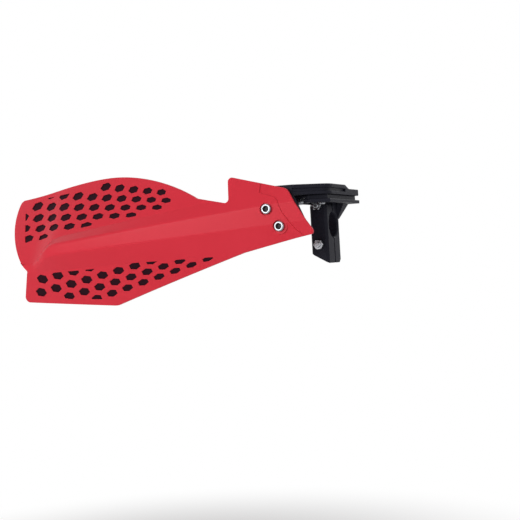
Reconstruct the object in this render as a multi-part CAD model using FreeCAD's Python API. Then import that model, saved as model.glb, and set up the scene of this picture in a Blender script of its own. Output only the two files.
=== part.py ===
"""Motorcycle hand guard, right hand: a honeycombed shield on a nylon arm and a split handlebar clamp.

Millimetres. The origin is the centre of the clamp's bore. +X runs along the bar towards the middle of
the motorcycle, -Y points forward and +Z up, so the shield reaches out along -X in front of the grip.
"""
import FreeCAD, Part
import math
import os
from FreeCAD import Vector

# Handlebar clamp
BAR_DIAMETER = 22.2
CLAMP_WIDTH = 16.0
CLAMP_HALF_DEPTH = 17.0
CLAMP_BOTTOM = -34.5
CLAMP_SPLIT = 1.5
CLAMP_BOLT_OFFSET = 17.5
CLAMP_TOE_CUT = 9.0
CLAMP_CHAMFER = 2.0
CLAMP_HEEL_CUT = 5.0
BORE_CHAMFER = 1.2
CAP_SHOULDER_CUT = 3.0

# Platform under the arm
PLATFORM_TOP = 25.6
PLATFORM_PLATE = 2.6
PLATFORM_SKIRT = 7.0
PLATFORM_WALL = 2.6
PLATFORM_LEFT = -11.0
PLATFORM_RIGHT = 22.0
PLATFORM_TOE_X = -16.0
PLATFORM_REAR = 36.0
PLATFORM_FRONT = -55.0
PLATFORM_BEND_Y = -44.0
PLATFORM_RIM = 3.0
PLATFORM_NECK_INSET = 3.0
NECK_FOOT_HEIGHT = 5.0
NECK_REACH = 12.0

# Support arm
ARM_RIM = 2.8
ARM_RECESS = 2.8
ARM_CROWN = 3.4
ARM_RECESS_INSET = 1.8
ARM_OUTBOARD_X = -5.0
ARM_OUTBOARD_BEND_Y = -32.0
ARM_TONGUE_Y = 8.0
ARM_CROWN_SLOPE = 10.0
ARM_BEND_RADIUS = 16.0
ARM_END_RADIUS = 3.0
PAD_LEFT = -35.0
PAD_FACE_Y = -66.5
PAD_THICKNESS = 5.0
PAD_CORNER_X = -4.0
PAD_TOE_X = 9.0
PAD_TOE_Z = -4.0
PAD_FOOT_Z = -9.0
PAD_HEEL_X = -17.5
PAD_KNEE_Z = 9.0
PAD_CORNER_RADIUS = 4.0

# Fasteners, M5
THREAD_DIAMETER = 5.0
HOLE_CLEARANCE = 0.5
THREAD_FIT = 0.1
HEX_FLATS = 8.0
HEX_HEAD_HEIGHT = 3.5
NUT_HEIGHT = 4.0
BOLT_TIP = 1.5
WASHER_DIAMETER = 9.6
WASHER_THICKNESS = 1.0
TOOL_CLEARANCE = 0.7
POCKET_CLEARANCE = 0.3
SCREW_HEAD_DIAMETER = 8.8
SCREW_HEAD_HEIGHT = 3.2
SCREW_SOCKET_FLATS = 4.0
SCREW_SOCKET_DEPTH = 2.0

# Shield, moulded wall
WALL = 2.6
SHEET_TOP = 66.0
SHEET_BOTTOM = -74.0
SHEET_OUTBOARD = -310.0
SHEET_INBOARD = 26.0
SPINE_Y = -95.0
SPINE_X = -170.0
SPINE_RADIUS = 720.0

# Shield section, each pair is (outboard value at STATION_OUTBOARD, inboard value at X = 0)
STATION_OUTBOARD = -260.0
UPPER_CREASE_Z = (-0.7, 34.0)
CREST_UPPER_Z = (-6.6, 20.0)
CREST_LOWER_Z = (-15.0, 2.4)
LOWER_CREASE_Z = (-28.3, -18.7)
UPPER_CREASE_DEPTH = (12.0, 4.0)
LOWER_CREASE_DEPTH = (12.0, 6.0)
UPPER_FIN_LEAN = (33.0, 22.0)
LOWER_FIN_LEAN = (26.0, 20.0)
CREASE_RADIUS = 3.0
CREST_RADIUS = 5.0
ROUND_SHARE = 0.45
NOSE_X = -266.0
NOSE_LENGTH = 36.0
NOSE_STEP = 3.0
STATION_PITCH = 12.0

# Shield outline, front view (X, Z)
TOP_CORNER = (-296.0, 42.0)
TOP_CREST = (-172.0, 54.2)
TOP_SHOULDER = (-219.0, 51.6)
TOP_FALL = (-135.5, 48.2)
TOP_RUN_OUT = (-87.0, 28.2)
TAB_NOTCH = (-56.8, 21.6)
TAB_TIP = (-61.0, 45.6)
MOUNT_SHOULDER = (-6.5, 31.4)
MOUNT_TIP = (15.6, -8.0)
MOUNT_HEEL = (-1.5, -11.3)
BELLY_START = (-47.5, -21.3)
BELLY_CORNER = (-179.0, -62.0)
FOOT_CORNER = (-282.5, -55.2)
SIDE_NOTCH = (-267.6, -26.5)
SIDE_SWELL = (-288.0, -3.2)
SIDE_BULGE = (-297.5, 19.3)
TOP_CORNER_RADIUS = 6.0
TAB_NOTCH_RADIUS = 3.0
TAB_TIP_RADIUS = 3.0
MOUNT_SHOULDER_RADIUS = 9.0
MOUNT_TIP_RADIUS = 3.0
BELLY_CORNER_RADIUS = 14.0
FOOT_CORNER_RADIUS = 4.0
SIDE_NOTCH_RADIUS = 1.5

# Honeycomb cells, front view (X, Z): the field of cells on each fin, and its lattice, which has a first
# cell, the steps along a row and up to the next row, how the rows fan out and how their steps shorten
UPPER_FIELD = [(-287.0, 30.3), (-285.0, 40.3), (-207.0, 45.3), (-191.0, 51.0), (-170.0, 51.2),
               (-138.5, 45.6), (-113.0, 37.8), (-111.5, 26.6), (-119.4, 20.2), (-139.0, 21.1),
               (-145.0, 17.1), (-177.3, 13.8), (-230.0, 6.9), (-276.5, -1.0)]
LOWER_FIELD = [(-259.2, -29.5), (-196.6, -27.7), (-150.0, -24.3), (-75.0, -23.3), (-75.8, -26.9),
               (-173.0, -52.0), (-192.0, -55.4), (-226.4, -54.1), (-239.0, -52.0), (-268.3, -50.5)]
UPPER_LATTICE = {"first": (-271.7, 34.9), "row": (20.23, -1.92), "rise": (16.25, 10.14),
                 "fan": (-1.023, -0.568), "shorten": (-0.248, 0.059)}
LOWER_LATTICE = {"first": (-258.8, -46.3), "row": (18.82, 3.09), "rise": (6.41, 12.14),
                 "fan": (0.024, -0.424), "shorten": (-0.126, 0.023)}
CELL_COLUMNS = range(-1, 13)
CELL_ROWS = range(-4, 5)
CELL_SHARE = 0.6
CELL_DEPTH = 0.8
CELL_LEAST_AREA = 8.0

# Lowered border inboard of the screws, front view (X, Z) of its inner line
BORDER_LINE = [(-30.0, 29.2), (-16.4, 24.8), (-14.2, 21.7), (-10.5, 11.7), (-0.4, -3.5)]
BORDER_DEPTH = 0.8

# Screws through the shield (X, Z)
SHIELD_SCREWS = {"upper": (-23.1, 14.8), "lower": (-13.0, -0.5)}
SEAT_DEPTH = 1.4
SEAT_RECESS_DIAMETER = 11.0
SEAT_BOSS_DIAMETER = 13.0

# Bolts down through arm and platform (X, Y)
ARM_BOLTS = {"front": (-6.0, -46.0), "rear": (10.0, -31.0)}

BORE_RADIUS = BAR_DIAMETER / 2
HALF_WIDTH = CLAMP_WIDTH / 2
ARM_BOTTOM = PLATFORM_TOP
ARM_RIM_TOP = ARM_BOTTOM + ARM_RIM
ARM_CROWN_BOTTOM = ARM_RIM_TOP + ARM_RECESS
ARM_TOP = ARM_CROWN_BOTTOM + ARM_CROWN
PLATE_UNDERSIDE = PLATFORM_TOP - PLATFORM_PLATE
SKIRT_BOTTOM = PLATFORM_TOP - PLATFORM_SKIRT
HOLE_RADIUS = (THREAD_DIAMETER + HOLE_CLEARANCE) / 2
PAD_BACK_Y = PAD_FACE_Y + PAD_THICKNESS
ARM_BOLT_SEAT = ARM_TOP - HEX_HEAD_HEIGHT
FAR = 400.0


def box(x0, x1, y0, y1, z0, z1):
    """Box between two opposite corners."""
    return Part.makeBox(x1 - x0, y1 - y0, z1 - z0, Vector(x0, y0, z0))


def polygon_prism(points, travel):
    """Straight-sided prism: closed polygon of 3-D points pushed along the travel vector."""
    return Part.Face(Part.makePolygon(points + points[:1])).extrude(travel)


def plan_prism(points, z0, z1):
    """Upright prism over a plan outline of (x, y) points."""
    return polygon_prism([Vector(x, y, z0) for x, y in points], Vector(0, 0, z1 - z0))


def side_prism(points):
    """Prism through the whole guard along X over a side-view outline of (y, z) points."""
    return polygon_prism([Vector(-FAR, y, z) for y, z in points], Vector(2 * FAR, 0, 0))


def fillet_at(solid, corners, along):
    """Rounds the edges parallel to `along` that pass through each (point, radius) of corners."""
    for point, radius in corners:
        for edge in solid.Edges:
            start, end = (v.Point for v in edge.Vertexes[:1] + edge.Vertexes[-1:])
            run = end - start
            if run.Length < 1e-6 or abs(run.normalize().dot(along)) < 0.999:
                continue
            offset = start - point
            if (offset - along * offset.dot(along)).Length < 1e-3:
                solid = solid.makeFillet(radius, [edge])
                break
    return solid


def hexagon(flats, centre, axis, reach):
    """Hexagonal prism with the given width across flats, from centre along axis."""
    corner = flats / math.sqrt(3)
    points = [Vector(corner * math.cos(math.pi * k / 3), corner * math.sin(math.pi * k / 3), 0)
              for k in range(6)]
    prism = polygon_prism(points, Vector(0, 0, reach))
    prism.Placement = FreeCAD.Placement(centre, FreeCAD.Rotation(Vector(0, 0, 1), axis))
    return prism


# Fasteners

def hex_bolt(seat, axis, grip):
    """Hex bolt whose head stands on seat, with its shank running against axis for the grip length."""
    head = hexagon(HEX_FLATS, seat, axis, HEX_HEAD_HEIGHT)
    shank = Part.makeCylinder(THREAD_DIAMETER / 2, grip + NUT_HEIGHT + BOLT_TIP, seat, -axis)
    return head.fuse(shank).removeSplitter()


def hex_nut(seat, axis):
    """Hex nut standing on seat, threaded on a bolt along axis."""
    blank = hexagon(HEX_FLATS, seat, axis, NUT_HEIGHT)
    return blank.cut(Part.makeCylinder((THREAD_DIAMETER + THREAD_FIT) / 2, NUT_HEIGHT, seat, axis))


def washer(seat, axis):
    """Plain washer standing on seat."""
    disc = Part.makeCylinder(WASHER_DIAMETER / 2, WASHER_THICKNESS, seat, axis)
    return disc.cut(Part.makeCylinder(HOLE_RADIUS, WASHER_THICKNESS, seat, axis))


def socket_screw(seat, axis, grip):
    """Low-head screw with a hexagon socket, its head standing on seat."""
    head = Part.makeCylinder(SCREW_HEAD_DIAMETER / 2, SCREW_HEAD_HEIGHT, seat, axis)
    floor = seat + axis * (SCREW_HEAD_HEIGHT - SCREW_SOCKET_DEPTH)
    head = head.cut(hexagon(SCREW_SOCKET_FLATS, floor, axis, SCREW_SOCKET_DEPTH))
    shank = Part.makeCylinder(THREAD_DIAMETER / 2, grip + NUT_HEIGHT + BOLT_TIP, seat, -axis)
    return head.fuse(shank).removeSplitter()


# Shield

def taper(x, pair):
    """Straight taper between the outboard station and X = 0."""
    outboard, inboard = pair
    return outboard + (inboard - outboard) * (x - STATION_OUTBOARD) / -STATION_OUTBOARD


def spine_y(x):
    """Depth of the rib's crest: a shallow parabola in plan, furthest forward at SPINE_X."""
    return SPINE_Y + (x - SPINE_X) ** 2 / (2 * SPINE_RADIUS)


def nose_blend(x):
    """0 outboard of the nose, where the rib has died away, rising smoothly to 1 on the full rib."""
    share = min(1.0, max(0.0, (x - NOSE_X) / NOSE_LENGTH))
    return share * share * (3 - 2 * share)


def section_points(x):
    """Front corners (Y, Z) of the section at x, from the sheet's top to its bottom."""
    full = nose_blend(x)
    crest = spine_y(x)
    lower_z = taper(x, LOWER_CREASE_Z)
    lower_y = crest + taper(x, LOWER_CREASE_DEPTH)
    upper_z = taper(x, UPPER_CREASE_Z)
    upper_y = crest + taper(x, UPPER_CREASE_DEPTH)
    lower_lean = math.radians(taper(x, LOWER_FIN_LEAN))
    top_y = upper_y + (SHEET_TOP - upper_z) * math.tan(math.radians(taper(x, UPPER_FIN_LEAN)))
    bottom_y = lower_y + (lower_z - SHEET_BOTTOM) * math.tan(lower_lean)
    rib = [(crest, taper(x, CREST_LOWER_Z)), (crest, taper(x, CREST_UPPER_Z)), (upper_y, upper_z)]

    # Where the rib has died away its three corners are steps of an even round between the two fins
    upper_lean = math.atan2(top_y - lower_y, SHEET_TOP - lower_z)
    turn = (upper_lean + lower_lean) / (len(rib) + 1)
    y, z = lower_y, lower_z
    corners = [(bottom_y, SHEET_BOTTOM), (lower_y, lower_z)]
    for k, (rib_y, rib_z) in enumerate(rib, 1):
        y += NOSE_STEP * math.sin(k * turn - lower_lean)
        z += NOSE_STEP * math.cos(k * turn - lower_lean)
        corners.append((y + full * (rib_y - y), z + full * (rib_z - z)))
    return [(top_y, SHEET_TOP)] + corners[::-1]


def offset_corners(corners, distance):
    """Corners of the line that runs parallel to corners, further back by distance."""
    normals = []
    for (y0, z0), (y1, z1) in zip(corners, corners[1:]):
        length = math.hypot(y1 - y0, z1 - z0)
        normals.append(((z0 - z1) / length, (y1 - y0) / length))
    moved = []
    for k, (y, z) in enumerate(corners):
        before = normals[max(k - 1, 0)]
        after = normals[min(k, len(normals) - 1)]
        scale = distance / (1 + before[0] * after[0] + before[1] * after[1])
        moved.append((y + scale * (before[0] + after[0]), z + scale * (before[1] + after[1])))
    return moved


def rounded_line(x, corners, radii):
    """Edges through the corners at x, with an arc of the wanted radius in each inner corner."""
    points = [Vector(x, y, z) for y, z in corners]
    edges = []
    start = points[0]
    for k, radius in enumerate(radii, 1):
        back = points[k - 1] - points[k]
        ahead = points[k + 1] - points[k]
        room = ROUND_SHARE * min(back.Length, ahead.Length)
        back.normalize()
        ahead.normalize()
        half_turn = (math.pi - back.getAngle(ahead)) / 2
        trim = min(radius * math.tan(half_turn), room)
        middle = (back + ahead).normalize()
        bend = trim / math.tan(half_turn)
        arc_middle = points[k] + middle * (bend / math.cos(half_turn) - bend)
        arc_start = points[k] + back * trim
        arc_end = points[k] + ahead * trim
        edges.append(Part.LineSegment(start, arc_start).toShape())
        edges.append(Part.Arc(arc_start, arc_middle, arc_end).toShape())
        start = arc_end
    edges.append(Part.LineSegment(start, points[-1]).toShape())
    return edges


def section_wire(x, front, back):
    """Closed section at x between two lines parallel to the shield's front, set back by front and back."""
    corners = section_points(x)
    outer_radii = [CREASE_RADIUS, CREST_RADIUS, CREST_RADIUS, CREASE_RADIUS]
    inner_radii = [CREASE_RADIUS + back, CREST_RADIUS - back, CREST_RADIUS - back, CREASE_RADIUS + back]
    outer = rounded_line(x, offset_corners(corners, front), outer_radii)
    inner = rounded_line(x, offset_corners(corners, back), inner_radii)
    outer_ends = outer[0].Vertexes[0].Point, outer[-1].Vertexes[-1].Point
    inner_ends = inner[0].Vertexes[0].Point, inner[-1].Vertexes[-1].Point
    bottom = Part.LineSegment(outer_ends[1], inner_ends[1]).toShape()
    top = Part.LineSegment(inner_ends[0], outer_ends[0]).toShape()
    return Part.Wire(outer + [bottom] + inner[::-1] + [top])


def shield_sheet(front, back):
    """Untrimmed sheet lofted through evenly spaced sections along X."""
    length = SHEET_INBOARD - SHEET_OUTBOARD
    count = math.ceil(length / STATION_PITCH)
    stations = [SHEET_OUTBOARD + length * k / count for k in range(count + 1)]
    return Part.makeLoft([section_wire(x, front, back) for x in stations], True, False)


def front_point(pair, y=-FAR / 2):
    """Point of the front view (X, Z) at depth y, by default well in front of the guard."""
    return Vector(pair[0], y, pair[1])


def outline_prism():
    """The shield's outline in the front view, pushed through from front to back."""
    def line(a, b):
        return Part.LineSegment(front_point(a), front_point(b)).toShape()

    def curve(*points):
        spline = Part.BSplineCurve()
        spline.interpolate([front_point(p) for p in points])
        return spline.toShape()

    edges = [curve(TOP_CORNER, TOP_SHOULDER, TOP_CREST, TOP_FALL, TOP_RUN_OUT),
             line(TOP_RUN_OUT, TAB_NOTCH),
             line(TAB_NOTCH, TAB_TIP),
             line(TAB_TIP, MOUNT_SHOULDER),
             line(MOUNT_SHOULDER, MOUNT_TIP),
             line(MOUNT_TIP, MOUNT_HEEL),
             line(MOUNT_HEEL, BELLY_START),
             line(BELLY_START, BELLY_CORNER),
             line(BELLY_CORNER, FOOT_CORNER),
             line(FOOT_CORNER, SIDE_NOTCH),
             curve(SIDE_NOTCH, SIDE_SWELL, SIDE_BULGE, TOP_CORNER)]
    prism = Part.Face(Part.Wire(edges)).extrude(Vector(0, FAR, 0))
    corners = [(TOP_CORNER, TOP_CORNER_RADIUS), (TAB_NOTCH, TAB_NOTCH_RADIUS), (TAB_TIP, TAB_TIP_RADIUS),
               (MOUNT_SHOULDER, MOUNT_SHOULDER_RADIUS), (MOUNT_TIP, MOUNT_TIP_RADIUS),
               (BELLY_CORNER, BELLY_CORNER_RADIUS), (FOOT_CORNER, FOOT_CORNER_RADIUS),
               (SIDE_NOTCH, SIDE_NOTCH_RADIUS)]
    return fillet_at(prism, [(front_point(p), r) for p, r in corners], Vector(0, 1, 0))


def front_y(x, z):
    """Depth of the shield's front at (x, z), on the straight lines between its section's corners."""
    corners = section_points(x)
    for (y0, z0), (y1, z1) in zip(corners, corners[1:]):
        if z >= z1:
            return y0 + (y1 - y0) * (z - z0) / (z1 - z0)
    return corners[-1][0]


def lattice_point(lattice, i, j):
    """Place of step (i, j) of a lattice whose rows fan out by i times j and shorten by i squared."""
    steps = {"first": 1, "row": i, "rise": j, "fan": i * j, "shorten": i * i}
    return tuple(sum(steps[k] * lattice[k][axis] for k in steps) for axis in (0, 1))


def cell_pocket(cell):
    """Pocket behind a cell of the front view, with a flat floor CELL_DEPTH below the shield's front."""
    x, z = cell.CenterOfMass.x, cell.CenterOfMass.z
    slope_x = (front_y(x + 1, z) - front_y(x - 1, z)) / 2
    slope_z = (front_y(x, z + 1) - front_y(x, z - 1)) / 2
    y = front_y(x, z) + CELL_DEPTH * math.sqrt(1 + slope_x ** 2 + slope_z ** 2)
    floor = [Vector(v.X, y + slope_x * (v.X - x) + slope_z * (v.Z - z), v.Z)
             for v in cell.OuterWire.OrderedVertexes]
    return polygon_prism(floor, Vector(0, -FAR, 0))


def cells(field, lattice):
    """Pockets of one fin's honeycomb, trimmed by its field."""
    window = Part.Face(Part.makePolygon([front_point(p) for p in field + field[:1]]))
    # A cell's corners, in thirds of the row and rise steps: the middles of the lattice's triangles
    thirds = [(1, 1), (-1, 2), (-2, 1), (-1, -1), (1, -2), (2, -1)]
    pockets = []
    for i in CELL_COLUMNS:
        for j in CELL_ROWS:
            corners = [lattice_point(lattice, i + CELL_SHARE * a / 3, j + CELL_SHARE * b / 3)
                       for a, b in thirds]
            rim = Part.makePolygon([front_point(p) for p in corners + corners[:1]])
            cell = Part.Face(rim).common(window)
            if cell.Area > CELL_LEAST_AREA:
                pockets.append(cell_pocket(cell.Faces[0]))
    return pockets


def lowered_border():
    """Skin that is taken off the mounting end's inboard edge, outside the border line."""
    beyond = [(SHEET_INBOARD, BORDER_LINE[-1][1] - SHEET_INBOARD), (SHEET_INBOARD, SHEET_TOP),
              (BORDER_LINE[0][0], SHEET_TOP)]
    side = polygon_prism([front_point(p) for p in BORDER_LINE + beyond], Vector(0, FAR, 0))
    return shield_sheet(-WALL, BORDER_DEPTH).common(side)


def seat_y(x):
    """Plane on which a screw head seats: a little behind the crest's face at that place."""
    return spine_y(x) + SEAT_DEPTH


def make_shield():
    """Trimmed and honeycombed sheet with a boss behind each screw, which stands on the arm's pad."""
    shield = shield_sheet(0.0, WALL).common(outline_prism())
    forward = Vector(0, -1, 0)
    cuts = cells(UPPER_FIELD, UPPER_LATTICE) + cells(LOWER_FIELD, LOWER_LATTICE) + [lowered_border()]
    for x, z in SHIELD_SCREWS.values():
        seat = Vector(x, seat_y(x), z)
        boss = Part.makeCylinder(SEAT_BOSS_DIAMETER / 2, PAD_FACE_Y - seat.y, seat, -forward)
        shield = shield.fuse(boss)
        cuts.append(Part.makeCylinder(SEAT_RECESS_DIAMETER / 2, FAR, seat, forward))
        cuts.append(Part.makeCylinder(HOLE_RADIUS, FAR, Vector(x, -FAR / 2, z), -forward))
    return shield.cut(cuts).removeSplitter()


# Arm and clamp

def arm_plan(inset):
    """Arm outline in plan, drawn in by inset."""
    points = [(PLATFORM_RIGHT - inset, PLATFORM_REAR - inset),
              (PLATFORM_RIGHT - inset, PLATFORM_BEND_Y),
              (PAD_CORNER_X - inset, PAD_FACE_Y),
              (PAD_LEFT + inset, PAD_FACE_Y),
              (PAD_LEFT + inset, PAD_BACK_Y + PAD_THICKNESS - inset),
              (ARM_OUTBOARD_X + inset, ARM_OUTBOARD_BEND_Y + inset),
              (ARM_OUTBOARD_X + inset, PLATFORM_REAR - inset)]
    bends = [(0, ARM_END_RADIUS), (6, ARM_END_RADIUS), (1, ARM_BEND_RADIUS), (5, ARM_BEND_RADIUS)]
    return points, bends


def arm_layer(inset, z0, z1):
    """One level of the arm between two heights, its bends and ends rounded in plan."""
    points, bends = arm_plan(inset)
    layer = plan_prism(points, z0, z1)
    corners = [(Vector(*points[k], z0), radius) for k, radius in bends]
    return fillet_at(layer, corners, Vector(0, 0, 1))


def make_support_arm():
    """Arm in three levels with the shield's pad hanging from its front and pockets for the arm bolts."""
    slope_start = ARM_TONGUE_Y - ARM_CROWN_SLOPE
    tongue = arm_layer(0.0, ARM_RIM_TOP, ARM_CROWN_BOTTOM)
    tongue = tongue.common(box(-FAR, FAR, slope_start, FAR, ARM_RIM_TOP, ARM_CROWN_BOTTOM))
    arm = arm_layer(0.0, ARM_BOTTOM, ARM_RIM_TOP)
    arm = arm.fuse([arm_layer(ARM_RECESS_INSET, ARM_RIM_TOP, ARM_CROWN_BOTTOM), tongue,
                    arm_layer(0.0, ARM_CROWN_BOTTOM, ARM_TOP)])
    # The crown ends in a slope down to the tongue
    crown_end = [(ARM_TONGUE_Y, ARM_CROWN_BOTTOM), (PLATFORM_REAR, ARM_CROWN_BOTTOM),
                 (PLATFORM_REAR, ARM_TOP), (slope_start, ARM_TOP)]
    arm = arm.cut(side_prism(crown_end))
    pad = [(PAD_LEFT, ARM_TOP), (PAD_CORNER_X, ARM_TOP), (PAD_CORNER_X, ARM_BOTTOM), (PAD_TOE_X, PAD_TOE_Z),
           (PAD_TOE_X - PAD_CORNER_RADIUS, PAD_FOOT_Z), (PAD_HEEL_X, PAD_FOOT_Z), (PAD_LEFT, PAD_KNEE_Z)]
    plate = polygon_prism([front_point(p, PAD_FACE_Y) for p in pad], Vector(0, PAD_THICKNESS, 0))
    arm = arm.fuse(plate)
    for x, z in SHIELD_SCREWS.values():
        arm = arm.cut(Part.makeCylinder(HOLE_RADIUS, FAR, front_point((x, z)), Vector(0, 1, 0)))
    for x, y in ARM_BOLTS.values():
        pocket = hexagon(HEX_FLATS + POCKET_CLEARANCE, Vector(x, y, ARM_BOLT_SEAT), Vector(0, 0, 1), FAR)
        arm = arm.cut([pocket, Part.makeCylinder(HOLE_RADIUS, FAR, Vector(x, y, -FAR / 2))])
    return arm.removeSplitter()


def platform_plan(inset):
    """Platform outline in plan, drawn in by inset."""
    return [(PLATFORM_RIGHT - inset, PLATFORM_REAR - inset),
            (PLATFORM_RIGHT - inset, PLATFORM_BEND_Y + inset / 2),
            (PAD_TOE_X - inset, PLATFORM_FRONT + inset),
            (PLATFORM_TOE_X + inset, PLATFORM_FRONT + inset),
            (PLATFORM_TOE_X + inset, ARM_BOLTS["front"][1] + THREAD_DIAMETER - inset),
            (PLATFORM_LEFT + inset, ARM_OUTBOARD_BEND_Y - inset),
            (PLATFORM_LEFT + inset, PLATFORM_REAR - inset)]


def clamp_half(split_y, outer_y, top):
    """One half of the clamp: its outer corners are chamfered in plan, and its foot slopes up outboard."""
    chamfer_y = outer_y - math.copysign(CLAMP_CHAMFER, outer_y)
    flat = HALF_WIDTH - CLAMP_CHAMFER
    block = plan_prism([(-HALF_WIDTH, split_y), (-HALF_WIDTH, chamfer_y), (-flat, outer_y), (flat, outer_y),
                        (HALF_WIDTH, chamfer_y), (HALF_WIDTH, split_y)], CLAMP_BOTTOM, top)
    toe = [(-HALF_WIDTH, CLAMP_BOTTOM), (HALF_WIDTH, CLAMP_BOTTOM),
           (-HALF_WIDTH, CLAMP_BOTTOM + CLAMP_TOE_CUT)]
    return block.cut(polygon_prism([front_point(p) for p in toe], Vector(0, FAR, 0)))


def bore_cut(block):
    """Cuts the bar's bore with a chamfered mouth at each end, and the holes for the clamp bolts."""
    along = Vector(1, 0, 0)
    bore = Part.makeCylinder(BORE_RADIUS, CLAMP_WIDTH, Vector(-HALF_WIDTH, 0, 0), along)
    mouth = BORE_RADIUS + BORE_CHAMFER
    cones = [Part.makeCone(mouth, BORE_RADIUS, BORE_CHAMFER, Vector(s * HALF_WIDTH, 0, 0), along * -s)
             for s in (-1, 1)]
    holes = [Part.makeCylinder(HOLE_RADIUS, FAR, front_point((0, s * CLAMP_BOLT_OFFSET)), Vector(0, 1, 0))
             for s in (-1, 1)]
    return block.cut([bore] + cones + holes)


def make_clamp_body():
    """Rear half of the clamp with the hollow platform that carries the arm."""
    rim_top = SKIRT_BOTTOM + PLATFORM_RIM
    platform = plan_prism(platform_plan(0.0), SKIRT_BOTTOM, rim_top)
    platform = platform.fuse(plan_prism(platform_plan(PLATFORM_NECK_INSET), rim_top, PLATFORM_TOP))
    inside = PLATFORM_NECK_INSET + PLATFORM_WALL
    hollow = plan_prism(platform_plan(inside), SKIRT_BOTTOM, PLATE_UNDERSIDE)
    mouth = box(-FAR, ARM_BOLTS["front"][0] + HEX_FLATS, PLATFORM_FRONT, ARM_OUTBOARD_BEND_Y,
                SKIRT_BOTTOM, PLATE_UNDERSIDE)
    cap_side = HALF_WIDTH + TOOL_CLEARANCE
    cap_front = -CLAMP_HALF_DEPTH - NUT_HEIGHT - BOLT_TIP - TOOL_CLEARANCE
    cap_room = box(-cap_side, cap_side, cap_front, 0, SKIRT_BOTTOM, PLATE_UNDERSIDE)
    platform = platform.cut([hollow, mouth, cap_room])
    heel = [(CLAMP_HALF_DEPTH, CLAMP_BOTTOM), (CLAMP_HALF_DEPTH, CLAMP_BOTTOM + CLAMP_HEEL_CUT),
            (CLAMP_HALF_DEPTH - CLAMP_HEEL_CUT, CLAMP_BOTTOM)]
    block = clamp_half(CLAMP_SPLIT / 2, CLAMP_HALF_DEPTH, PLATE_UNDERSIDE).cut(side_prism(heel))
    foot = [(-HALF_WIDTH, NECK_REACH), (HALF_WIDTH, NECK_REACH),
            (HALF_WIDTH, CLAMP_HALF_DEPTH), (-HALF_WIDTH, CLAMP_HALF_DEPTH)]
    head = [(PLATFORM_LEFT + inside, NECK_REACH), (PLATFORM_RIGHT - inside, NECK_REACH),
            (PLATFORM_RIGHT - inside, PLATFORM_REAR - inside),
            (PLATFORM_LEFT + inside, PLATFORM_REAR - inside)]
    neck = Part.makeLoft([Part.makePolygon([Vector(x, y, z) for x, y in ring + ring[:1]])
                          for ring, z in ((foot, NECK_FOOT_HEIGHT), (head, PLATE_UNDERSIDE))], True, True)
    body = block.fuse([platform, neck])
    tunnel = Part.makeCylinder(WASHER_DIAMETER / 2 + TOOL_CLEARANCE, FAR,
                               Vector(0, CLAMP_HALF_DEPTH, CLAMP_BOLT_OFFSET), Vector(0, 1, 0))
    body = bore_cut(body).cut(tunnel)
    for x, y in ARM_BOLTS.values():
        body = body.cut(Part.makeCylinder(HOLE_RADIUS, FAR, Vector(x, y, -FAR / 2)))
    return body.removeSplitter()


def make_clamp_cap():
    """Front half of the clamp, under the platform."""
    top = PLATE_UNDERSIDE - TOOL_CLEARANCE
    cap = clamp_half(-CLAMP_SPLIT / 2, -CLAMP_HALF_DEPTH, top)
    shoulders = [(Vector(s * HALF_WIDTH, -CLAMP_HALF_DEPTH, top),
                  Vector(s * (HALF_WIDTH - CAP_SHOULDER_CUT), -CLAMP_HALF_DEPTH, top),
                  Vector(s * HALF_WIDTH, -CLAMP_HALF_DEPTH, top - 2 * CAP_SHOULDER_CUT)) for s in (-1, 1)]
    cap = cap.cut([polygon_prism(list(c), Vector(0, CLAMP_HALF_DEPTH, 0)) for c in shoulders])
    return bore_cut(cap).removeSplitter()


def make_fasteners():
    """Every screw, bolt, washer and nut, by node name."""
    forward, up = Vector(0, -1, 0), Vector(0, 0, 1)
    made = {}
    for place, (x, z) in SHIELD_SCREWS.items():
        seat = Vector(x, seat_y(x), z)
        back = Vector(x, PAD_BACK_Y, z)
        grip = PAD_BACK_Y + WASHER_THICKNESS - seat.y
        made["shield_screw_" + place] = socket_screw(seat, forward, grip)
        made["shield_washer_" + place] = washer(back, -forward)
        made["shield_nut_" + place] = hex_nut(back - forward * WASHER_THICKNESS, -forward)
    for place, side in (("upper", 1), ("lower", -1)):
        rear = Vector(0, CLAMP_HALF_DEPTH, side * CLAMP_BOLT_OFFSET)
        front = Vector(0, -CLAMP_HALF_DEPTH, side * CLAMP_BOLT_OFFSET)
        grip = 2 * CLAMP_HALF_DEPTH + WASHER_THICKNESS
        made["clamp_bolt_" + place] = hex_bolt(rear - forward * WASHER_THICKNESS, -forward, grip)
        made["clamp_washer_" + place] = washer(rear, -forward)
        made["clamp_nut_" + place] = hex_nut(front, forward)
    for place, (x, y) in ARM_BOLTS.items():
        grip = ARM_BOLT_SEAT - PLATE_UNDERSIDE
        made["arm_bolt_" + place] = hex_bolt(Vector(x, y, ARM_BOLT_SEAT), up, grip)
        made["arm_nut_" + place] = hex_nut(Vector(x, y, PLATE_UNDERSIDE), -up)
    return made


def main():
    """Builds every node and writes one file for each."""
    os.makedirs("parts", exist_ok=True)
    nodes = {"shield": make_shield(), "support_arm": make_support_arm(),
             "clamp_body": make_clamp_body(), "clamp_cap": make_clamp_cap()}
    nodes.update(make_fasteners())
    for name, shape in nodes.items():
        solid = shape.Solids[0] if len(shape.Solids) == 1 else shape
        print(name, "valid" if solid.isValid() else "INVALID", len(shape.Solids), round(solid.Volume, 1))
        solid.exportStep("parts/" + name + ".step")


main()
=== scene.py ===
"""Looks of a right-hand motorcycle hand guard: satin red shield, grained black nylon, zinc-plated steel.

Metres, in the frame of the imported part: the origin is the centre of the clamp's bore, +X runs along the bar
towards the middle of the motorcycle, -Y points forward and +Z up.
"""

import math

import bmesh
import bpy
import numpy as np
from mathutils import Matrix, Vector


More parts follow.
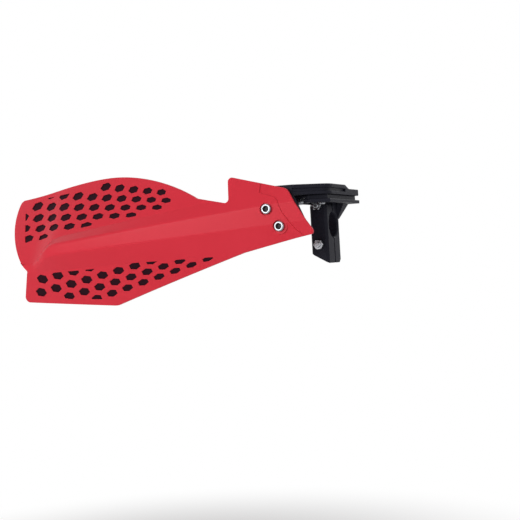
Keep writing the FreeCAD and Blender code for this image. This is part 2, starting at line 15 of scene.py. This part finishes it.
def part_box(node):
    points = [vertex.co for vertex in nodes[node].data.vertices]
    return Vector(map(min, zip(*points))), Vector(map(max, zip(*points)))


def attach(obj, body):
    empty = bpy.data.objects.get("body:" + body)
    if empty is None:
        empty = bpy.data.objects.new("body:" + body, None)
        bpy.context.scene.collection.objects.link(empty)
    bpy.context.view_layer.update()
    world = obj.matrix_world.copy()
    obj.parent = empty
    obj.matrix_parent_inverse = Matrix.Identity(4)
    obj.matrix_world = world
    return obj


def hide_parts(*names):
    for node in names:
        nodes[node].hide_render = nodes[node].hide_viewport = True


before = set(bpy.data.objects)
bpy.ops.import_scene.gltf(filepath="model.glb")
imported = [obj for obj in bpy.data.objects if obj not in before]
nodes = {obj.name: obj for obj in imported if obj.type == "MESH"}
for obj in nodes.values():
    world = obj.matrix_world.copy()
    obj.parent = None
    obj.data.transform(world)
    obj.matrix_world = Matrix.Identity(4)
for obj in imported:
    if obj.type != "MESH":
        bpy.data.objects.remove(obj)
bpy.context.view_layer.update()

MM = 0.001

# Camera, from the photograph: pixels of a 520 by 520 picture
PICTURE_PIXELS = 520
FOCAL_PIXELS = 1240.0
BORE_PIXEL = (325.0, 225.0)
CAMERA_AZIMUTH = math.radians(23.0)
CAMERA_ROLL = math.radians(3.3)
CAMERA_DISTANCE = 1.116
SENSOR = 36.0

# Studio: the floor shows as it is up to FLOOR_NEAR from the foot of the guard and as white past FLOOR_FAR
GUARD_MIDDLE = (-0.13, -0.08, 0.0)
FLOOR_Z = -0.30
FLOOR_RINGS = (0.0, 0.3, 0.6, 1.0, 2.0, 6.0, 40.0)
FLOOR_SEGMENTS = 64
FLOOR_SHADE = 0.86
FLOOR_NEAR = 0.10
FLOOR_FAR = 0.42
AMBIENT = 0.32

# Soft boxes: place, width and height, power in watts
LAMPS = {
    "key": ((-0.50, -1.45, 0.30), (1.3, 0.55), 13.5),
    "fill": ((1.2, -0.6, 0.3), (0.7, 0.7), 2.5),
    "back": ((0.3, 1.2, 0.9), (1.0, 1.0), 7.0),
}

# M5 threads
THREAD_RADIUS = 2.5 * MM
THREAD_DEPTH = 0.36 * MM
THREAD_LEAD = 0.6 * MM
THREADED_LENGTH = 9.0 * MM
PITCH = 0.8 * MM
ROWS_PER_TURN = 8

# Hexagon nuts and heads: the corners slope down from a round face a little smaller than the flats
NUT_FLATS = 8.0 * MM
NUT_CORNER = NUT_FLATS / math.sqrt(3)
NUT_FACE_SHARE = 0.97
NUT_FACE = NUT_FLATS / 2 * NUT_FACE_SHARE
CORNER_CHAMFER = math.radians(30.0)
CORNER_DROP = (NUT_CORNER - NUT_FACE) * math.tan(CORNER_CHAMFER)
HEX_HEAD_HEIGHT = 3.5 * MM

# Washers
WASHER_HOLE_RADIUS = 2.75 * MM

# Socket heads: the last SOCKET_BANDS bands of faces are the socket's, which carry painted shade
SOCKET_HEAD_HEIGHT = 3.2 * MM
SOCKET_FLATS = 4.0 * MM
SOCKET_DEPTH = 2.0 * MM
SOCKET_MOUTH = 0.45 * MM
SOCKET_BANDS = 3
RIM_ROLL_SHARE = 0.3
RIM_ROLL_ROWS = 7

# Turned pieces: eased edges, points to a ring, the turn in degrees past which an edge stays sharp, and flats
# that are wide enough to leave a ring round
EASED_EDGE = 0.25 * MM
TURN_SEGMENTS = 72
SMOOTH_TURN = 25
ROUND = 1.0

# Axis of each kind of fastener, for a screw or bolt from its tip to its head
FASTENER_AXES = {
    "shield_screw": (0, -1, 0), "shield_washer": (0, 1, 0), "shield_nut": (0, 1, 0),
    "clamp_bolt": (0, 1, 0), "clamp_washer": (0, 1, 0), "clamp_nut": (0, 1, 0),
    "arm_bolt": (0, 0, 1), "arm_nut": (0, 0, 1),
}

# Moulded edges: width of the rounding, and the turn in degrees past which an edge is rounded
SHIELD_EDGE = 0.3 * MM
SHIELD_EDGE_TURN = 40
NYLON_EDGE = 0.6 * MM
NYLON_EDGE_TURN = 30
ROUNDING_SEGMENTS = 2

# Limits of the rounding: its share of the room beside an edge, the least share of its width that is worth
# making, how far from a screw's axis it starts, and the cosine under which two edges run on nearly straight
ROOM_SHARE = 0.4
LEAST_SHARE = 0.12
SEAT_REACH = 7.5 * MM
STRAIGHT_COSINE = -0.87

# Joining of points and of faces: distances, and the turn in degrees within which faces are one
JOIN_GRID = 1e-7
JOIN_TRIANGLES = 1e-6
FLAT_TURN = 0.2

# Honeycomb cells, as they are told apart on the shield: small floors that face forward between steep walls
CELL_LARGEST = 160.0 * MM * MM
CELL_FACING = -0.5
CELL_WALL_COSINE = 0.8
CELL_INBOARD_END = -0.06

# Places of a piece's own finish and of its dark one among its materials: painted shade in a screw's socket,
# dark floors in the shield's cells
PLAIN, DARK = 0, 1


# Shader maths

class Value:
    """A socket of one material's node tree. Arithmetic on it adds Math nodes to that tree."""

    def __init__(self, tree, socket=None):
        self.tree = tree
        self.socket = socket

    def make(self, kind, settings=None, inputs=None, output=0):
        """Adds a node: its settings first, then the values or links of its input sockets."""
        node = self.tree.nodes.new(kind)
        for name, value in (settings or {}).items():
            setattr(node, name, value)
        for name, value in (inputs or {}).items():
            if isinstance(value, Value):
                self.tree.links.new(value.socket, node.inputs[name])
            else:
                node.inputs[name].default_value = value
        return Value(self.tree, node.outputs[output])

    def math(self, operation, *values):
        return self.make("ShaderNodeMath", {"operation": operation}, dict(enumerate(values)))

    def __add__(self, other):
        return self.math("ADD", self, other)

    def __radd__(self, other):
        return self.math("ADD", other, self)

    def __mul__(self, other):
        return self.math("MULTIPLY", self, other)

    def __rmul__(self, other):
        return self.math("MULTIPLY", other, self)

    def rise(self, low, high):
        """Rises from 0 at low to 1 at high, smoothly."""
        settings = {"interpolation_type": "SMOOTHSTEP"}
        return self.make("ShaderNodeMapRange", settings, {0: self, 1: low, 2: high})

    def noise(self, place, scale, detail, roughness=0.5):
        """Noise over the coordinates, with about `scale` lumps in a metre."""
        inputs = {"Vector": place, "Scale": scale, "Detail": detail, "Roughness": roughness}
        return self.make("ShaderNodeTexNoise", inputs=inputs)

    def blend(self, factor, first, second):
        """Colour that goes from first to second as factor goes from 0 to 1."""
        return self.make("ShaderNodeMix", {"data_type": "RGBA"}, {0: factor, 6: first, 7: second}, 2)

    def bump(self, height, distance, strength):
        """Normal of a surface that height raises by up to the distance."""
        inputs = {"Height": height, "Distance": distance, "Strength": strength}
        return self.make("ShaderNodeBump", inputs=inputs)

    def seen_ray(self):
        """1 for a ray from the camera or by way of gloss or glass, 0 for a ray that gathers light."""
        camera, gloss, glass = (self.make("ShaderNodeLightPath", output=kind) for kind in
                                ("Is Camera Ray", "Is Glossy Ray", "Is Transmission Ray"))
        return self.math("MAXIMUM", camera, self.math("MAXIMUM", gloss, glass))

    def surface(self, inputs):
        """Joins a principled surface with these inputs to the material's output."""
        self.make("ShaderNodeBsdfPrincipled", inputs=inputs).to_output()

    def to_output(self, kind="ShaderNodeOutputMaterial"):
        """Joins this shader to the tree's output."""
        output = self.tree.nodes.new(kind)
        self.tree.links.new(self.socket, output.inputs["Surface"])


def colour(red, green, blue):
    """Linear colour from sRGB numbers of 0 to 255."""
    shares = np.array([red, green, blue]) / 255
    linear = np.where(shares <= 0.04045, shares / 12.92, ((shares + 0.055) / 1.055) ** 2.4)
    return (*linear.tolist(), 1.0)


def start_material(name):
    """An empty material, its first Value and its Object coordinates."""
    material = bpy.data.materials.new(name)
    material.use_nodes = True
    material.node_tree.nodes.clear()
    value = Value(material.node_tree)
    return material, value, value.make("ShaderNodeTexCoord", output="Object")


# Finishes

def shield_red():
    """Satin red polypropylene: a faint cloudiness in the colour and a fine spark-eroded grain."""
    material, value, place = start_material("shield_red")
    cloud = value.noise(place, scale=14.0, detail=3.0)
    grain = value.noise(place, scale=1600.0, detail=2.0)
    value.surface({"Base Color": value.blend(cloud, colour(206, 45, 58), colour(212, 51, 66)),
                   "Roughness": 0.32 + 0.10 * cloud,
                   "Specular IOR Level": 0.12,
                   "Normal": value.bump(grain, distance=0.03 * MM, strength=0.4)})
    return material


def cell_black():
    """Satin dark maroon on the floors of the honeycomb cells, a little uneven."""
    material, value, place = start_material("cell_black")
    cloud = value.noise(place, scale=120.0, detail=3.0)
    value.surface({"Base Color": value.blend(cloud, colour(36, 14, 22), colour(46, 20, 29)),
                   "Roughness": 0.5 + 0.15 * cloud,
                   "Specular IOR Level": 0.04})
    return material


def nylon_black():
    """Glass-filled black nylon: a coarse matt grain with a dull shine."""
    material, value, place = start_material("nylon_black")
    cloud = value.noise(place, scale=40.0, detail=3.0)
    grain = value.noise(place, scale=1400.0, detail=3.0, roughness=0.6)
    value.surface({"Base Color": value.blend(cloud, colour(30, 30, 38), colour(39, 39, 48)),
                   "Roughness": 0.34 + 0.16 * grain,
                   "Specular IOR Level": 0.04,
                   "Normal": value.bump(grain, distance=0.05 * MM, strength=0.5)})
    return material


def zinc_steel():
    """Bright zinc plate on steel: slightly blue, with a fine crystalline mottle."""
    material, value, place = start_material("zinc_steel")
    mottle = value.noise(place, scale=900.0, detail=3.0)
    value.surface({"Base Color": value.blend(mottle, colour(128, 130, 135), colour(168, 170, 174)),
                   "Metallic": 1.0,
                   "Roughness": 0.22 + 0.18 * mottle,
                   "Normal": value.bump(mottle, distance=0.02 * MM, strength=0.4)})
    return material


def socket_painted_shade():
    """Painted shade inside a screw's socket: a dull dark steel colour that stands in for the shade of the
    hollow.
    """
    material, value, place = start_material("socket_painted_shade")
    mottle = value.noise(place, scale=700.0, detail=3.0)
    value.surface({"Base Color": value.blend(mottle, colour(26, 24, 26), colour(58, 54, 56)),
                   "Metallic": 0.7,
                   "Roughness": 0.45 + 0.2 * mottle})
    return material


def floor_pale():
    """Pale floor that keeps the object's shadow near it and runs out into the white backdrop."""
    material, value, place = start_material("studio_floor")
    foot = (GUARD_MIDDLE[0], GUARD_MIDDLE[1], FLOOR_Z)
    away = value.make("ShaderNodeVectorMath", {"operation": "DISTANCE"}, {0: place, 1: foot}, "Value")
    far = away.rise(FLOOR_NEAR, FLOOR_FAR)
    shade = (FLOOR_SHADE, FLOOR_SHADE, FLOOR_SHADE, 1.0)
    diffuse = value.make("ShaderNodeBsdfDiffuse", inputs={"Color": shade})
    white = value.make("ShaderNodeEmission", inputs={"Strength": 1.0})
    shaders = {0: value.seen_ray() * far, 1: diffuse, 2: white}
    value.make("ShaderNodeMixShader", inputs=shaders).to_output()
    return material


# Meshes

def add_piece(node, mesh, materials):
    """Puts a finished mesh into the scene as the piece that stands for a node."""
    piece = bpy.data.objects.new(node + "_finish", mesh)
    bpy.context.scene.collection.objects.link(piece)
    for material in materials:
        mesh.materials.append(material)
    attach(piece, "root")
    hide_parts(node)
    return piece


def grid_mesh(name, points, loop, finish=None):
    """Mesh of a grid of points (rows, columns, 3) whose columns close; rows close too where loop is true.

    A row of one repeated point becomes a pole. `finish` holds the material's number of each band of faces
    between two rows.
    """
    rows, columns = points.shape[:2]
    index = np.arange(rows * columns).reshape(rows, columns)
    across = np.roll(index, -1, axis=1)
    upper = np.roll(index, -1, axis=0) if loop else index[1:]
    upper_across = np.roll(upper, -1, axis=1)
    lower = index if loop else index[:-1]
    lower_across = across if loop else across[:-1]
    quads = np.stack([lower, lower_across, upper_across, upper], axis=-1).reshape(-1, 4)
    mesh = bpy.data.meshes.new(name)
    mesh.from_pydata(points.reshape(-1, 3).tolist(), [], quads.tolist())
    if finish is not None:
        mesh.polygons.foreach_set("material_index", np.repeat(finish, columns))
    shell = bmesh.new()
    shell.from_mesh(mesh)
    bmesh.ops.remove_doubles(shell, verts=shell.verts, dist=JOIN_GRID)
    bmesh.ops.recalc_face_normals(shell, faces=shell.faces)
    shell.to_mesh(mesh)
    shell.free()
    return mesh


def smooth_by_angle(mesh, degrees):
    """Smooth shading, with an edge kept sharp where its two faces meet at more than that angle."""
    mesh.shade_smooth()
    mesh.set_sharp_from_angle(angle=math.radians(degrees))


def read(items, name, width=1, kind=float):
    """One property of all a mesh's vertices, edges, corners or faces, as an array."""
    values = np.empty(len(items) * width, kind)
    items.foreach_get(name, values)
    return values.reshape(-1, width) if width > 1 else values


# Fasteners: a row is a height along the axis, a radius and the flats of a hexagon that limits it

def turned(rows, origin, axis, thread=None):
    """Points of a turned or hexagonal piece: ring k lies at height rows[k][0] along axis from origin.

    Its radius at angle t is the smaller of rows[k][1] and the hexagon of flats rows[k][2], which is
    flats / 2 / cos(t folded into one flat), with two corners along X. `thread` is (low, high): between
    those heights a helix takes up to THREAD_DEPTH off the radius.
    """
    height, radius, flats = (np.array(column)[:, None] for column in zip(*rows))
    turn = np.linspace(0, 2 * np.pi, TURN_SEGMENTS, endpoint=False)[None, :]
    folded = (turn + np.pi / 6) % (np.pi / 3) - np.pi / 6
    reach = np.minimum(radius, flats / 2 / np.cos(folded))
    if thread:
        low, high = thread
        phase = (height / PITCH - turn / (2 * np.pi)) % 1.0
        inside = (height > low) & (height < high)
        reach = reach - inside * THREAD_DEPTH * np.abs(2 * phase - 1)
    reach = np.broadcast_to(reach, (len(rows), TURN_SEGMENTS))
    side = Vector(axis).cross(Vector((1.0, 0.0, 0.0)))
    other = Vector(axis).cross(side)
    along, first, second, centre = (np.array(v) for v in (axis, side, other, origin))
    return (centre + along * height[..., None]
            + (reach * np.cos(turn))[..., None] * first + (reach * np.sin(turn))[..., None] * second)


def rest_frame(node, axis):
    """Centre of a node's box across its axis, and the box's lowest and highest reach along the axis."""
    low, high = (np.array(corner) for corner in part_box(node))
    axis = np.array(axis)
    centre = (low + high) / 2 * (1 - np.abs(axis))
    reach = sorted((float(low @ axis), float(high @ axis)))
    return centre, reach


def nut_rows(low, high):
    """Closed section of a hexagon nut: chamfered corners outside, a countersunk bore inside."""
    mouth = THREAD_RADIUS + EASED_EDGE
    return [(low, mouth, ROUND), (low, NUT_FACE, NUT_FLATS), (low + CORNER_DROP, NUT_CORNER, NUT_FLATS),
            (high - CORNER_DROP, NUT_CORNER, NUT_FLATS), (high, NUT_FACE, NUT_FLATS), (high, mouth, ROUND),
            (high - EASED_EDGE, THREAD_RADIUS, ROUND), (low + EASED_EDGE, THREAD_RADIUS, ROUND)]


def washer_rows(low, high, radius, hole):
    """Closed section of a stamped washer with eased rims."""
    ease = EASED_EDGE / 2
    return [(low, hole + ease, ROUND), (low, radius - ease, ROUND), (low + ease, radius, ROUND),
            (high - ease, radius, ROUND), (high, radius - ease, ROUND), (high, hole + ease, ROUND),
            (high - ease, hole, ROUND), (low + ease, hole, ROUND)]


def shank_rows(tip, shoulder):
    """Rows from a bolt's tip up to under its head, close enough together to carry the thread."""
    count = round((shoulder - tip - THREAD_LEAD) / (PITCH / ROWS_PER_TURN))
    heights = np.linspace(tip + THREAD_LEAD, shoulder, count)
    point = [(tip, 0.0, ROUND), (tip, THREAD_RADIUS - THREAD_LEAD, ROUND)]
    return point + [(height, THREAD_RADIUS, ROUND) for height in heights]


def hex_head_rows(low, high):
    """Hexagon head: eased edge below, chamfered corners above."""
    return [(low, NUT_FACE, NUT_FLATS), (low + EASED_EDGE, NUT_CORNER, NUT_FLATS),
            (high - CORNER_DROP, NUT_CORNER, NUT_FLATS), (high, NUT_FACE, NUT_FLATS),
            (high, 0.0, NUT_FLATS)]


def socket_head_rows(low, high, radius):
    """Round head with a rolled rim and a hexagon socket, down to the socket's floor."""
    roll = (high - low) * RIM_ROLL_SHARE
    bends = np.linspace(0, np.pi / 2, RIM_ROLL_ROWS)
    rim = [(high - roll + roll * math.sin(b), radius - roll + roll * math.cos(b), ROUND) for b in bends]
    mouth = SOCKET_FLATS / math.sqrt(3) + SOCKET_MOUTH
    floor = high - SOCKET_DEPTH
    socket = [(high, mouth, ROUND), (high - EASED_EDGE, mouth, SOCKET_FLATS),
              (floor, mouth, SOCKET_FLATS), (floor, 0.0, ROUND)]
    return [(low, radius, ROUND)] + rim + socket


def fastener_rows(kind, low, high, radius):
    """Rows of a fastener of that kind between its lowest and highest reach along its axis."""
    if kind.endswith("nut"):
        return nut_rows(low, high)
    if kind.endswith("washer"):
        return washer_rows(low, high, radius, WASHER_HOLE_RADIUS)
    if kind.endswith("screw"):
        shoulder = high - SOCKET_HEAD_HEIGHT
        return shank_rows(low, shoulder) + socket_head_rows(shoulder, high, radius)
    shoulder = high - HEX_HEAD_HEIGHT
    return shank_rows(low, shoulder) + hex_head_rows(shoulder, high)


def make_fastener(node, kind, zinc, dark):
    """A screw, bolt, washer or nut over the reach of its node. A screw's socket carries painted shade."""
    axis = FASTENER_AXES[kind]
    centre, (low, high) = rest_frame(node, axis)
    box_low, box_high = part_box(node)
    rows = fastener_rows(kind, low, high, (box_high[0] - box_low[0]) / 2)
    ring = kind.endswith(("nut", "washer"))
    thread = None if ring else (low + THREAD_LEAD / 2, low + THREADED_LENGTH)
    materials = [zinc]
    finish = np.full(len(rows) if ring else len(rows) - 1, PLAIN)
    if kind.endswith("screw"):
        # A screw's socket bands get the painted shade as the second material
        materials = [zinc, dark]
        finish[-SOCKET_BANDS:] = DARK
    mesh = grid_mesh(node + "_turned", turned(rows, centre, axis, thread), ring, finish)
    smooth_by_angle(mesh, SMOOTH_TURN)
    add_piece(node, mesh, materials)


# Moulded pieces

def merged_copy(node):
    """A node's mesh with its loose triangles joined and its flat faces made whole."""
    mesh = nodes[node].data.copy()
    mesh.name = node + "_moulded"
    mesh.materials.clear()
    shell = bmesh.new()
    shell.from_mesh(mesh)
    bmesh.ops.remove_doubles(shell, verts=shell.verts, dist=JOIN_TRIANGLES)
    flat = math.radians(FLAT_TURN)
    bmesh.ops.dissolve_limit(shell, angle_limit=flat, verts=shell.verts, edges=shell.edges)
    shell.to_mesh(mesh)
    shell.free()
    return mesh


def edge_middles(mesh):
    """Middle of each edge."""
    return read(mesh.vertices, "co", 3)[read(mesh.edges, "vertices", 2, int)].mean(axis=1)


def edge_turns(mesh):
    """Cosine of the turn at each edge, and whether the edge stands out.

    The cosine is half the squared length of the two faces' normals added, less one. At an edge that
    stands out, the middles of its faces lie behind it, against the sum of the normals.
    """
    total = read(mesh.polygons, "loop_total", kind=int)
    edge = read(mesh.loops, "edge_index", kind=int)
    middle = edge_middles(mesh)
    meeting, spread = np.zeros((len(mesh.edges), 3)), np.zeros((len(mesh.edges), 3))
    np.add.at(meeting, edge, np.repeat(read(mesh.polygons, "normal", 3), total, axis=0))
    np.add.at(spread, edge, np.repeat(read(mesh.polygons, "center", 3), total, axis=0) - middle[edge])
    return (meeting ** 2).sum(axis=1) / 2 - 1, (meeting * spread).sum(axis=1) < 0


def edge_room(mesh):
    """How far each edge can be rounded before the rounding runs past a neighbour of it.

    At a face's corner of angle a, the rounding of one edge slides along the other, so it has that
    other edge's length times sin(a). Edges that run on nearly straight don't limit each other.
    """
    point = read(mesh.vertices, "co", 3)
    vertex = read(mesh.loops, "vertex_index", kind=int)
    edge = read(mesh.loops, "edge_index", kind=int)
    total = read(mesh.polygons, "loop_total", kind=int)
    first, count = np.repeat(read(mesh.polygons, "loop_start", kind=int), total), np.repeat(total, total)
    place = np.arange(len(vertex)) - first
    after, before = first + (place + 1) % count, first + (place - 1) % count
    ahead, back = point[vertex[after]] - point[vertex], point[vertex[before]] - point[vertex]
    ahead_length, back_length = np.linalg.norm(ahead, axis=1), np.linalg.norm(back, axis=1)
    sine = np.linalg.norm(np.cross(ahead, back), axis=1) / (ahead_length * back_length)
    straight = (ahead * back).sum(axis=1) < STRAIGHT_COSINE * ahead_length * back_length
    room = np.full(len(mesh.edges), np.inf)
    np.minimum.at(room, edge, np.where(straight, np.inf, back_length * sine))
    np.minimum.at(room, edge[before], np.where(straight, np.inf, ahead_length * sine))
    return room


def cell_floors(mesh):
    """True for each face that is a honeycomb cell's floor: small, facing forward, steep walls all round."""
    edge = read(mesh.loops, "edge_index", kind=int)
    steep = edge_turns(mesh)[0][edge] < CELL_WALL_COSINE
    walled = np.logical_and.reduceat(steep, read(mesh.polygons, "loop_start", kind=int))
    forward = read(mesh.polygons, "normal", 3)[:, 1] < CELL_FACING
    outboard = read(mesh.polygons, "center", 3)[:, 0] < CELL_INBOARD_END
    return walled & forward & outboard & (read(mesh.polygons, "area") < CELL_LARGEST)


def mark_edges(mesh, width, angle, seats):
    """Gives each edge its share of a rounding of that width, and marks the other edges that turn as sharp.

    An edge is rounded where it stands out by more than the angle, has room and lies away from the screws'
    seats, whose walls run out to nothing on one side.
    """
    share = np.minimum(1.0, ROOM_SHARE * edge_room(mesh) / width)
    cosine, stands_out = edge_turns(mesh)
    turns = cosine < math.cos(math.radians(angle))
    rounded = turns & stands_out & (share > LEAST_SHARE)
    middle = edge_middles(mesh)
    for seat in seats:
        rounded &= np.linalg.norm((middle - seat)[:, [0, 2]], axis=1) > SEAT_REACH
    weight = mesh.attributes.new("bevel_weight_edge", "FLOAT", "EDGE")
    weight.data.foreach_set("value", np.where(rounded, share, 0.0))
    sharp = mesh.attributes.new("sharp_edge", "BOOLEAN", "EDGE")
    sharp.data.foreach_set("value", turns & ~rounded)


def round_edges(piece, width, angle, seats=()):
    """Rounds the edges of a moulded piece that turn by more than the angle, and shades its faces evenly."""
    piece.data.shade_smooth()
    mark_edges(piece.data, width, angle, seats)
    bevel = piece.modifiers.new("rounded_edges", "BEVEL")
    bevel.width = width
    bevel.segments = ROUNDING_SEGMENTS
    bevel.limit_method = "WEIGHT"
    bevel.use_clamp_overlap = False
    even = piece.modifiers.new("even_shading", "WEIGHTED_NORMAL")
    even.mode = "FACE_AREA"
    even.keep_sharp = True


def make_shield(red, black):
    """The shield's own form with eased edges and black floors in its honeycomb."""
    mesh = merged_copy("shield")
    mesh.polygons.foreach_set("material_index", np.where(cell_floors(mesh), DARK, PLAIN))
    piece = add_piece("shield", mesh, [red, black])
    seats = [np.mean(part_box(screw), axis=0) for screw in ("shield_screw_upper", "shield_screw_lower")]
    round_edges(piece, SHIELD_EDGE, SHIELD_EDGE_TURN, seats)


def make_bracket(node, nylon):
    """A moulded part of the bracket with rounded edges."""
    piece = add_piece(node, merged_copy(node), [nylon])
    round_edges(piece, NYLON_EDGE, NYLON_EDGE_TURN)


# Studio and camera

def make_floor():
    """Round floor as a fan of rings about the frame's origin, closed at its middle."""
    radius = np.array(FLOOR_RINGS)[:, None]
    turn = np.linspace(0, 2 * np.pi, FLOOR_SEGMENTS, endpoint=False)[None, :]
    height = np.full((len(FLOOR_RINGS), FLOOR_SEGMENTS), FLOOR_Z)
    points = np.stack([radius * np.cos(turn), radius * np.sin(turn), height], axis=-1)
    mesh = grid_mesh("studio_floor", points, False)
    mesh.materials.append(floor_pale())
    floor = bpy.data.objects.new("studio_floor", mesh)
    bpy.context.scene.collection.objects.link(floor)


def make_world():
    """White to the camera and in reflections, and a softer even light on the object."""
    world = bpy.data.worlds.new("studio")
    bpy.context.scene.world = world
    world.use_nodes = True
    world.node_tree.nodes.clear()
    value = Value(world.node_tree)
    strength = AMBIENT + value.seen_ray() * (1.0 - AMBIENT)
    light = {"Color": (1.0, 1.0, 1.0, 1.0), "Strength": strength}
    value.make("ShaderNodeBackground", inputs=light).to_output("ShaderNodeOutputWorld")


def make_lamp(name, place, size, power):
    """Soft box of a width and height that faces the middle of the guard."""
    data = bpy.data.lights.new(name, "AREA")
    data.shape = "RECTANGLE"
    data.size, data.size_y = size
    data.energy = power
    lamp = bpy.data.objects.new(name, data)
    lamp.location = place
    lamp.rotation_euler = (Vector(GUARD_MIDDLE) - Vector(place)).to_track_quat("-Z", "Y").to_euler()
    bpy.context.scene.collection.objects.link(lamp)


def make_camera():
    """Level camera turned by its azimuth and roll, with the bore's centre on its pixel of the picture."""
    flat = Vector((math.cos(CAMERA_AZIMUTH), math.sin(CAMERA_AZIMUTH), 0.0))
    back = Vector((math.sin(CAMERA_AZIMUTH), -math.cos(CAMERA_AZIMUTH), 0.0))
    level = Vector((0.0, 0.0, 1.0))
    right = flat * math.cos(CAMERA_ROLL) - level * math.sin(CAMERA_ROLL)
    up = flat * math.sin(CAMERA_ROLL) + level * math.cos(CAMERA_ROLL)
    per_pixel = CAMERA_DISTANCE / FOCAL_PIXELS
    aside = (BORE_PIXEL[0] - PICTURE_PIXELS / 2) * per_pixel
    above = (PICTURE_PIXELS / 2 - BORE_PIXEL[1]) * per_pixel
    place = back * CAMERA_DISTANCE - right * aside - up * above
    data = bpy.data.cameras.new("photo_view")
    data.sensor_width = SENSOR
    data.lens = FOCAL_PIXELS / PICTURE_PIXELS * SENSOR
    camera = bpy.data.objects.new("photo_view", data)
    turn = Matrix((right, up, back)).transposed().to_4x4()
    camera.matrix_world = Matrix.Translation(place) @ turn
    bpy.context.scene.collection.objects.link(camera)
    bpy.context.scene.camera = camera


make_shield(shield_red(), cell_black())
nylon = nylon_black()
for bracket in ("support_arm", "clamp_body", "clamp_cap"):
    make_bracket(bracket, nylon)
# dark: painted shade for the screws' sockets
zinc, dark = zinc_steel(), socket_painted_shade()
for node in sorted(nodes):
    kind = node.rsplit("_", 1)[0]
    if kind in FASTENER_AXES:
        make_fastener(node, kind, zinc, dark)

make_floor()
make_world()
for name, (place, size, power) in LAMPS.items():
    make_lamp(name, place, size, power)
make_camera()
bpy.context.scene.view_settings.view_transform = "Standard"
